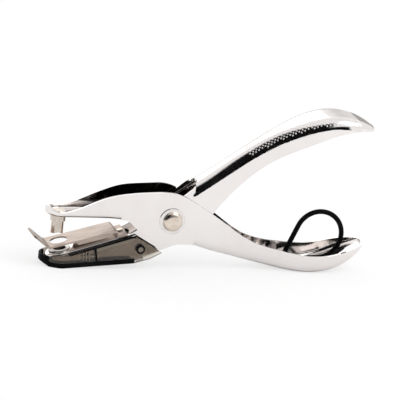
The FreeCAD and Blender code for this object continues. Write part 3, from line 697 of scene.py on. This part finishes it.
@dataclass
class GripBends:
    """Rounds the two long bends of the upper handle further, as polishing leaves them.

    The radii, lengths, margins and reaches are in millimetres. Fade gives the reaches from the
    pivot at which the rounding starts, is full, wanes and ends.
    """

    sections: list[Section]
    pressed: float = 3.4
    polished: float = 5.3
    fine_edge: float = 1.3
    passes: int = 5
    inner_margin: float = 1.0
    outer_margin: float = 0.5
    fade: tuple[float, float, float, float] = (8.0, 11.0, 88.0, 93.0)

    def section(self, x: float) -> tuple[Section, Vector]:
        """Interpolates the cross-section at a place.

        Args:
            x: the place, in metres.

        Returns:
            The section and the outward direction of the handle's back there.
        """
        pairs = list(zip(self.sections, self.sections[1:]))
        first, second = next((pair for pair in pairs if x <= pair[1].x), pairs[-1])
        run, rise = second.x - first.x, second.crown - first.crown
        part = min(max((x - first.x) / run, 0.0), 1.0)
        return first.towards(second, part, x), Vector((-rise, 0, run)).normalized()

    def corner_place(self, place: Vector) -> tuple[float, float, Vector]:
        """Where a point lies from the corner of wall and back.

        Args:
            place: the point.

        Returns:
            Its distance in from the wall's face and down from the back's, in millimetres, and the
            outward direction of the back.
        """
        here, up = self.section(place.x)
        return (here.half - abs(place.y)) / MM, (here.crown - place.z) * up.z / MM, up

    def near(self, place: Vector) -> bool:
        """Whether a point lies near one of the bends.

        Args:
            place: the point.

        Returns:
            True for a point that the rounding may move.
        """
        if self.strength(place) <= 0:
            return False
        depths = self.corner_place(place)[:2]
        return -self.outer_margin < min(depths) and max(depths) < self.polished + self.inner_margin

    def strength(self, place: Vector) -> float:
        """How much of the rounding a point gets along the handle.

        Args:
            place: the point.

        Returns:
            A share from 0 to 1, or less than 0 beyond the ends.
        """
        reach = (place.x - PIVOT.x) / MM
        start, full, wane, end = self.fade
        return min(1.0, (reach - start) / (full - start), (end - reach) / (end - wane))

    def shift(self, place: Vector) -> Vector:
        """How far a point near a bend moves towards the middle of the rounder bend.

        Args:
            place: the point.

        Returns:
            The move, in metres.
        """
        inward, down, up = self.corner_place(place)
        across, below = self.polished - inward, self.polished - down
        limit = self.polished + self.outer_margin
        if not (0 < across < limit and 0 < below < limit):
            return Vector()
        angle = math.atan2(below, across)
        flat = self.polished / max(math.cos(angle), math.sin(angle))
        left = self.polished - self.pressed
        if math.tan(min(angle, math.pi / 2 - angle)) > left / self.polished:
            lean = left * (math.cos(angle) + math.sin(angle))
            flat = lean + math.sqrt(lean ** 2 - 2 * left ** 2 + self.pressed ** 2)
        move = (flat - self.polished) * self.strength(place) * MM
        side = Vector((0, -math.copysign(math.cos(angle), place.y), 0))
        return (side - up * math.sin(angle)) * move

    def round_off(self, mesh: bpy.types.Mesh) -> None:
        """Cuts the sheet finely near the bends and rounds it there.

        Args:
            mesh: the lever's mesh, which is changed.
        """
        work = read_mesh(mesh)
        for _ in range(self.passes):
            near = {vert for vert in work.verts if self.near(vert.co)}
            coarse = [edge for edge in work.edges if edge.calc_length() > self.fine_edge * MM
                      and (edge.verts[0] in near or edge.verts[1] in near)]
            if not coarse:
                break
            bmesh.ops.subdivide_edges(work, edges=coarse, cuts=1)
            cut = [face for face in work.faces if len(face.verts) > 3]
            bmesh.ops.triangulate(work, faces=cut)
        for vert in work.verts:
            if self.near(vert.co):
                vert.co += self.shift(vert.co)
        work.to_mesh(mesh)
        work.free()


@dataclass
class Levers(SubAssembly):
    """The two pressed levers, and the knurl on the back of the upper handle.

    Lengths are in millimetres. Rays from above and beside measure the handle, the latter at the
    wall's depth under the back, and the lead is how far in front of the first section one more is
    added. The dots go round each bend by the angle over_bend, in degrees.
    """

    grip_start: float = 13.1
    grip_end: float = 93.0
    grip_sections: int = 20
    lead: float = 6.0
    above: float = 90.0
    beside: float = 50.0
    wall_depth: float = 3.4
    knurl_start: float = 36.0
    knurl_end: float = 91.0
    pitch: float = 1.9
    dot_radius: float = 0.42
    dot_height: float = 0.17
    dot_cuts: tuple[int, int] = (8, 6)
    over_bend: float = 62.0

    def build(self) -> None:
        """Skins both levers in bright plate, rounds the grip and raises its knurl."""
        self.skin("outer_lever", PlateFinish("bright_plate", (7.0, 9.0)))
        # Both plates paint shade inside their channels; the grip's painted shade is set to the
        # handle's span.
        grip = PlateFinish("grip_plate", (7.5, 7.5), painted_shade_start=-16.0, painted_shade_end=15.5,
                           painted_shade_floor=1.0, painted_shade_ceiling=17.0)
        skin = self.skin("inner_lever", grip)
        bends = GripBends(self.sections(surface_tree(skin.data)))
        bends.round_off(skin.data)
        self.keep(self.knurl(surface_tree(skin.data), bends), grip, "inner_lever")

    def crown(self, tree: BVHTree, reach: float) -> tuple[Vector, Vector]:
        """Finds the handle's back from above.

        Args:
            tree: the lever's surface.
            reach: how far from the pivot.

        Returns:
            The place on the middle of the back, and the outward direction there.
        """
        spot, normal, _, _ = tree.ray_cast(at(reach, 0, self.above), Vector((0, 0, -1)))
        return spot, Vector((normal.x, 0, normal.z)).normalized()

    def sections(self, tree: BVHTree) -> list[Section]:
        """Measures the upper handle at even steps along it.

        Args:
            tree: the lever's surface.

        Returns:
            Its cross-sections, with one more in front of the first.
        """
        found = []
        for step in range(self.grip_sections):
            part = step / (self.grip_sections - 1)
            reach = self.grip_start + (self.grip_end - self.grip_start) * part
            spot, outward = self.crown(tree, reach)
            low = spot - outward * (self.wall_depth * MM)
            side = tree.ray_cast(low - Vector((0, self.beside * MM, 0)), Vector((0, 1, 0)))[0]
            found.append(Section(spot.x, spot.z, abs(side.y)))
        first, second = found[:2]
        lead = self.lead * MM
        return [first.towards(second, -lead / (second.x - first.x), first.x - lead), *found]

    def knurl(self, tree: BVHTree, bends: GripBends) -> bpy.types.Object:
        """Flat pressed dots in staggered rows over the back of the handle.

        Args:
            tree: the surface of the lever that carries them.
            bends: the handle's bends.

        Returns:
            The new piece.
        """
        sides = (self.dot_radius, self.dot_radius, self.dot_height)
        size = Matrix.Diagonal((*(side * MM for side in sides), 1.0))
        work = bmesh.new()
        for number, (middle, up) in enumerate(self.rows(tree)):
            row = bmesh.new()
            for spot, outward in self.row_spots(tree, bends, middle, up, number % 2 / 2):
                turn = outward.to_track_quat("Z", "Y").to_matrix().to_4x4()
                bmesh.ops.create_uvsphere(row, u_segments=self.dot_cuts[0],
                                          v_segments=self.dot_cuts[1], radius=1.0,
                                          matrix=Matrix.Translation(spot) @ turn @ size)
            row_mesh = bpy.data.meshes.new("knurl_row")
            row.to_mesh(row_mesh)
            row.free()
            work.from_mesh(row_mesh)
            bpy.data.meshes.remove(row_mesh)
        return new_piece("grip_knurl", work)

    def rows(self, tree: BVHTree) -> list[tuple[Vector, Vector]]:
        """The rows' middles on the handle's back.

        Args:
            tree: the lever's surface.

        Returns:
            Place and outward direction of each row.
        """
        rows = []
        reach = self.knurl_start
        while reach < self.knurl_end:
            rows.append(self.crown(tree, reach))
            reach += self.pitch / 2 * rows[-1][1].z
        return rows

    def row_spots(self, tree: BVHTree, bends: GripBends, middle: Vector, up: Vector,
                  shift: float) -> list[tuple[Vector, Vector]]:
        """The dots of one row, over the flat back and round both bends.

        Args:
            tree: the lever's surface.
            bends: the handle's bends.
            middle: the row's middle.
            up: the outward direction there.
            shift: how far the row is shifted, as a part of the pitch.

        Returns:
            Place and outward direction of each dot.
        """
        radius = bends.polished
        flat = bends.section(middle.x)[0].half / MM - radius
        edge = flat + math.radians(self.over_bend) * radius
        count = int(edge / self.pitch) + 1
        spots = []
        for step in range(-count, count + 1):
            along = (step + shift) * self.pitch
            if abs(along) > edge:
                continue
            angle = max(abs(along) - flat, 0.0) / radius
            aside = Vector((0, math.copysign(min(abs(along), flat), along) * MM, 0))
            centre = middle - up * (radius * MM) + aside
            lean = Vector((0, math.copysign(math.sin(angle), along), 0))
            outward = up * math.cos(angle) + lean
            hit = tree.ray_cast(centre + outward * (3 * radius * MM), -outward)[0]
            if hit is not None:
                spots.append((hit, outward))
        return spots


# ---- pivot and cutting parts ----

@dataclass
class Pivot(SubAssembly):
    """The rivet with its washers and bush, and the return spring round them.

    The head gives the rivet's outline as radius and distance from the middle plane, in millimetres.
    """

    head: Line = ((0.0, 11.2), (2.3, 11.2), (2.9, 11.15), (3.5, 11.03), (4.0, 10.83), (4.4, 10.54),
                  (4.7, 10.17), (4.92, 9.75), (5.0, 9.5), (3.0, 9.5))
    turning_steps: int = 72
    sharp_angle: float = 40.0

    def build(self) -> None:
        """Turns the rivet and skins the washers, bush and spring."""
        rivet = SteelFinish("rivet_steel", (0.76, 0.67, 0.58), (0.68, 0.59, 0.51), 0.16, 260.0,
                            0.6, 0.1)
        washer = SteelFinish("washer_steel", (0.80, 0.765, 0.75), (0.72, 0.685, 0.67), 0.16, 300.0,
                             0.6, 0.1)
        bush = SteelFinish("bush_steel", (0.62, 0.61, 0.59), (0.34, 0.33, 0.32), 0.30)
        spring = SteelFinish("spring_steel", (0.16, 0.155, 0.15), (0.06, 0.058, 0.055), 0.30,
                             1400.0, 0.1)
        turned = self.turned_rivet()
        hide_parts("pivot_rivet")
        self.keep(turned, rivet, "pivot_rivet")
        self.skin("rivet_washer_near", washer)
        self.skin("rivet_washer_far", washer)
        self.skin("spacer_bush", bush)
        self.skin("return_spring", spring, self.sharp_angle)
        self.skin("spring_upper_leg", spring, self.sharp_angle)

    def turned_rivet(self) -> bpy.types.Object:
        """Turns the rivet as one piece, with a low dome on each head.

        Returns:
            The new piece.
        """
        work = bmesh.new()
        outline = [(radius, -away) for radius, away in self.head]
        outline += [(radius, away) for radius, away in reversed(self.head)]
        corners = [work.verts.new(at(radius, y, 0)) for radius, y in outline]
        lines = [work.edges.new(pair) for pair in zip(corners, corners[1:])]
        bmesh.ops.spin(work, geom=corners + lines, cent=PIVOT, axis=(0, 1, 0), dvec=(0, 0, 0),
                       angle=2 * math.pi, steps=self.turning_steps, use_merge=True)
        bmesh.ops.remove_doubles(work, verts=work.verts, dist=SLIVER)
        bmesh.ops.recalc_face_normals(work, faces=work.faces)
        return new_piece("pivot_rivet_turned", work, self.sharp_angle)


@dataclass
class PunchSet(SubAssembly):
    """The pin, the die and the stripper leaf with its rivet."""

    def build(self) -> None:
        """Skins the cutting parts."""
        pin = SteelFinish("pin_steel", (0.66, 0.59, 0.52), (0.50, 0.44, 0.38), 0.14, 900.0,
                          1.0, 0.15)
        die = SteelFinish("die_steel", (0.78, 0.76, 0.73), (0.50, 0.48, 0.45), 0.20, 1200.0,
                          4.0, 0.4)
        leaf = SteelFinish("leaf_steel", (0.47, 0.385, 0.33), (0.42, 0.345, 0.295), 0.30, 500.0,
                           0.05, 0.2)
        nodes = {"punch_pin": pin, "leaf_rivet": pin, "die_bush": die, "stripper_leaf": leaf}
        for node, finish in nodes.items():
            self.skin(node, finish)


# ---- catcher ----

@dataclass(frozen=True)
class Bar:
    """A raised bar along a line on both sides of the catcher: its line, width and height."""

    line: Line
    width: float
    proud: float

    def lay(self, work: bmesh.types.BMesh, side: float) -> None:
        """Lays a box along each stretch of the line, on both side walls.

        Args:
            work: the mesh to add to.
            side: the side walls' distance from the middle plane, in millimetres.
        """
        for first, second in zip(self.line, self.line[1:]):
            run = Vector((second[0] - first[0], 0, second[1] - first[1]))
            turn = Matrix.Rotation(-math.atan2(run.z, run.x), 4, "Y")
            sides = (run.length + self.width / 2, 2 * self.proud, self.width)
            size = Matrix.Diagonal((*(length * MM for length in sides), 1.0))
            for y in (-side, side):
                middle = at((first[0] + second[0]) / 2, y, (first[1] + second[1]) / 2)
                bmesh.ops.create_cube(work, size=1.0,
                                      matrix=Matrix.Translation(middle) @ turn @ size)


@dataclass
class Catcher(SubAssembly):
    """The chip catcher with its black base, its two pips, the mouldings on its sides and bars of
    painted shade and highlight along its rim.

    The shade lip along its rim is a black bar of painted shade, for the shade under the stripper
    leaf's edge, and the highlight band just under it is a pale bar of painted highlight. The tail
    lip runs along its tail, the rib crosses each side, and the stays and the sill are fainter bars.
    Lengths are in millimetres, and lines are (x, z) from the pivot axis.
    """

    side: float = 9.0
    # Painted shade: a black bar along the rim, for the shade under the stripper leaf's edge.
    shade_lip: Bar = Bar(((-50.0, -18.35), (-27.0, -11.0), (-17.4, -7.95)), 0.75, 0.3)
    tail_lip: Bar = Bar(((-17.2, -8.0), (-6.3, -14.25)), 0.375, 0.2)
    rib: Bar = Bar(((-37.3, -14.9), (-36.0, -22.6)), 0.9, 0.35)
    edging_round: float = 0.12
    # Painted highlight: a pale bar just under the rim, for the light line along it.
    highlight_band: Bar = Bar(((-36.6, -15.3), (-18.6, -9.65)), 1.5, 0.2)
    stay_tops: tuple[float, ...] = (-43.4, -41.9, -40.4)
    stay_heights: Span = (-17.2, -20.6)
    stay_lean: float = 0.5
    stay_width: float = 0.55
    sill: Bar = Bar(((-44.0, -18.9), (-37.4, -18.3)), 0.5, 0.2)
    band_round: float = 0.1
    pip_spot: tuple[float, float] = (-14.7, -14.5)
    pip_face: float = 9.8
    pip_middle: float = 1.35
    pip_bevel: float = 0.1
    pip_depth: float = 0.2
    pip_corners: int = 32

    def build(self) -> None:
        """Skins the catcher's parts, moulds the details of its sides and lays bars of painted shade
        and highlight along its rim.
        """
        base = DarkCoatFinish("base_plastic")
        # Painted shade: the pips are black so that the rim round each pale middle stands for the
        # shade in the gap round its head.
        pip_shade_coat = DarkCoatFinish("pip_plastic", roughness=0.30, coat=0.05)
        # Pale moulding colour, also used for the painted highlight band under the rim.
        pale = DarkCoatFinish("moulding_and_highlight_plastic", (0.19, 0.165, 0.135), (0.24, 0.21, 0.175), 0.35)
        self.skin("catcher_body", SmokedPlasticFinish("smoked_plastic"))
        self.skin("catcher_base", base)
        self.skin("catcher_pivot_near", pip_shade_coat)
        self.skin("catcher_pivot_far", pip_shade_coat)
        stays = [Bar(((x, self.stay_heights[0]), (x + self.stay_lean, self.stay_heights[1])),
                     self.stay_width, self.highlight_band.proud) for x in self.stay_tops]
        # Painted shade and highlight: the black shade lip and the pale highlight band along the
        # rim.
        shade_and_edging = self.bars("catcher_shade_and_edging", (self.shade_lip, self.tail_lip, self.rib), self.edging_round)
        highlight_and_ribs = self.bars("catcher_highlight_and_ribs", (self.highlight_band, *stays, self.sill), self.band_round)
        self.keep(shade_and_edging, base, "catcher_body")
        self.keep(highlight_and_ribs, pale, "catcher_body")
        self.keep(self.pip_middles(), pale, "catcher_pivot_near")

    def bars(self, name: str, bars: tuple[Bar, ...], rounding: float) -> bpy.types.Object:
        """Makes one piece of several bars and rounds all their edges.

        Args:
            name: the piece's name.
            bars: the bars.
            rounding: how far the edges are cut back.

        Returns:
            The new piece.
        """
        work = bmesh.new()
        for bar in bars:
            bar.lay(work, self.side)
        bmesh.ops.bevel(work, geom=work.edges[:], offset=rounding * MM, offset_type="OFFSET",
                        segments=2, profile=0.5, affect="EDGES", clamp_overlap=True, material=-1)
        return new_piece(name, work)

    def pip_middles(self) -> bpy.types.Object:
        """Lays a paler disc on the face of each pip; the black rim left round it is painted shade.

        Returns:
            The new piece.
        """
        work = bmesh.new()
        x, z = self.pip_spot
        for y, turn in ((-self.pip_face, 90), (self.pip_face, -90)):
            face = Matrix.Rotation(math.radians(turn), 4, "X")
            bmesh.ops.create_cone(work, cap_ends=True, segments=self.pip_corners,
                                  radius1=self.pip_middle * MM,
                                  radius2=(self.pip_middle - self.pip_bevel) * MM,
                                  depth=self.pip_depth * MM,
                                  matrix=Matrix.Translation(at(x, y, z)) @ face)
        return new_piece("catcher_pip_middles", work)


@dataclass
class HangLoop(SubAssembly):
    """The wire loop with the bracket and the pin that hold it."""

    wire_angle: float = 45.0

    def build(self) -> None:
        """Skins the loop's parts."""
        wire = DarkCoatFinish("loop_lacquer", (0.003, 0.003, 0.003), (0.014, 0.012, 0.011), 0.40,
                              0.0, 900.0)
        bracket = SteelFinish("bracket_steel", (0.60, 0.59, 0.58), (0.38, 0.37, 0.36), 0.34)
        self.skin("hang_loop", wire, self.wire_angle)
        self.skin("loop_bracket", bracket)
        self.skin("loop_pin", bracket)


# ---- studio ----

@dataclass(frozen=True)
class Lamp:
    """A round soft light: its place and width in metres, and its power in watts."""

    name: str
    place: tuple[float, float, float]
    width: float
    watts: float


@dataclass
class Studio:
    """Floor, lights, surroundings and camera.

    Angles are in degrees, the sensor and the near cheek's y in millimetres and other lengths in
    metres. The limits of the surroundings are on a direction's part to the right, away from the
    near side, or up, and each is a span over which it fades.
    """

    azimuth: float = -18.1
    elevation: float = 16.4
    roll: float = 6.4
    pixels_per_mm: float = 2.05
    frame_pixels: int = 400
    pivot_pixel: tuple[float, float] = (172.4, 221.5)
    near_cheek: float = -9.0
    distance: float = 1.6
    sensor: float = 36.0
    clip_end: float = 20.0
    floor_radius: float = 0.7
    floor_corners: int = 96
    floor_colour: Colour = (0.95, 0.95, 0.95)
    floor_roughness: float = 0.9
    floor_specular: float = 0.1
    floor_white: float = 0.7
    ambient: float = 0.88
    room: Colour = (0.002, 0.002, 0.0025)
    room_far: Span = (-0.10, 0.04)
    room_ceiling: Span = (0.84, 0.90)
    room_right: Span = (0.04, 0.20)
    recess_right: Span = (0.40, 0.50)
    recess_ceiling: Span = (0.28, 0.42)
    skirting_grey: Colour = (0.42, 0.40, 0.385)
    skirting_top: Span = (0.24, 0.32)
    skirting_far: Span = (0.60, 0.75)
    lamps: tuple[Lamp, ...] = (Lamp("key", (0.55, -0.40, 0.88), 0.6, 2.8),
                               Lamp("back", (-0.2, 1.15, 0.55), 1.2, 2.2))
    lit_place: tuple[float, float, float] = (0.0, 0.0, 0.03)

    def build(self) -> None:
        """Sets up everything round the punch."""
        self.floor()
        self.world()
        self.lights()
        self.camera()

    def floor(self) -> None:
        """Lays a pale disc under the punch, which keeps its shadow."""
        work = bmesh.new()
        bmesh.ops.create_circle(work, cap_ends=True, segments=self.floor_corners,
                                radius=self.floor_radius)
        floor = new_piece("floor", work)
        paper = Surface("floor_paper")
        paper.put("Base Color", self.floor_colour)
        paper.put("Roughness", self.floor_roughness)
        paper.put("Specular IOR Level", self.floor_specular)
        camera = paper.add("ShaderNodeLightPath").outputs["Is Camera Ray"]
        white = paper.add("ShaderNodeEmission").outputs[0]
        share = paper.product(camera, self.floor_white)
        result = paper.wire("ShaderNodeMixShader", share, paper.shader.outputs[0], white)[0]
        paper.join(result, paper.tree.nodes["Material Output"].inputs["Surface"])
        dress(floor, paper.material)

    def world(self) -> None:
        """Surrounds the punch with soft light, and with white where a ray sees it directly."""
        world = bpy.data.worlds.new("studio")
        bpy.context.scene.world = world
        world.use_nodes = True
        sheet = NodeSheet(world.node_tree)
        plain = world.node_tree.nodes["Background"]
        sheet.feed(plain.inputs["Color"], WHITE)
        sheet.feed(plain.inputs["Strength"], self.ambient)
        rays = sheet.add("ShaderNodeLightPath").outputs
        colour = self.reflected(sheet, rays["Is Glossy Ray"])
        shown = sheet.wire("ShaderNodeBackground", colour, 1.0)
        direct = sheet.maths("MAXIMUM", rays["Is Camera Ray"], rays["Is Transmission Ray"])
        direct = sheet.maths("MAXIMUM", direct, rays["Is Glossy Ray"])
        result = sheet.wire("ShaderNodeMixShader", direct, plain.outputs[0], shown[0])[0]
        sheet.join(result, world.node_tree.nodes["World Output"].inputs["Surface"])

    def reflected(self, sheet: NodeSheet, glossy: Socket) -> Socket:
        """Colours the surroundings for what the metal shows.

        The room is dark over the near side, apart from the directions towards the key light. Edges
        that turn away show the low grey strip behind as a thin line.

        Args:
            sheet: the world's nodes.
            glossy: 1 for glossy rays and 0 for others, which see plain white.

        Returns:
            The colour.
        """
        right, far, up = sheet.split(sheet.add("ShaderNodeTexCoord").outputs["Generated"])
        recess = sheet.product(sheet.fall(right, *self.recess_right),
                               sheet.fall(up, *self.recess_ceiling))
        wall = sheet.maths("MAXIMUM", sheet.fall(right, *self.room_right), recess)
        room = sheet.product(sheet.fall(far, *self.room_far), sheet.fall(up, *self.room_ceiling),
                             wall, glossy)
        strip = sheet.product(sheet.fall(up, *self.skirting_top),
                              sheet.rise(far, *self.skirting_far), glossy)
        return sheet.blend(room, sheet.blend(strip, WHITE, self.skirting_grey), self.room)

    def lights(self) -> None:
        """Hangs a soft key light over the right-hand side and a wide, weak one behind."""
        for lamp in self.lamps:
            data = bpy.data.lights.new(lamp.name, "AREA")
            data.shape = "DISK"
            data.size = lamp.width
            data.energy = lamp.watts
            light = bpy.data.objects.new(lamp.name, data)
            bpy.context.scene.collection.objects.link(light)
            light.location = lamp.place
            aim = Vector(self.lit_place) - Vector(lamp.place)
            light.rotation_euler = aim.to_track_quat("-Z", "Y").to_euler()

    def camera(self) -> None:
        """Sets a long lens up, turned and rolled to the viewing angle."""
        angles = (self.azimuth, self.elevation, self.roll)
        turn, lift, roll = (math.radians(angle) for angle in angles)
        across = Vector((math.cos(turn), math.sin(turn), 0))
        upward = Vector((-math.sin(turn) * math.sin(lift), math.cos(turn) * math.sin(lift),
                         math.cos(lift)))
        right = across * math.cos(roll) + upward * math.sin(roll)
        up = upward * math.cos(roll) - across * math.sin(roll)
        back = right.cross(up)
        pixel = MM / self.pixels_per_mm
        aside, down = (self.frame_pixels / 2 - place for place in self.pivot_pixel)
        middle = at(0, self.near_cheek, 0) + (right * aside - up * down) * pixel
        data = bpy.data.cameras.new("camera")
        data.sensor_width = self.sensor
        data.lens = self.sensor * self.distance / (self.frame_pixels * pixel)
        data.clip_end = self.clip_end
        camera = bpy.data.objects.new("camera", data)
        bpy.context.scene.collection.objects.link(camera)
        turned = Matrix((right, up, back)).transposed().to_4x4()
        camera.matrix_world = Matrix.Translation(middle + back * self.distance) @ turned
        bpy.context.scene.camera = camera


def main() -> None:
    """Builds the sub-assemblies in order, then the studio."""
    logging.basicConfig(level=logging.INFO, format="%(message)s")
    bpy.context.scene.view_settings.view_transform = "Standard"
    effects = Effects()
    for assembly in (Levers, Pivot, PunchSet, Catcher, HangLoop):
        assembly(effects).build()
    Studio().build()


if __name__ == "__main__":
    main()
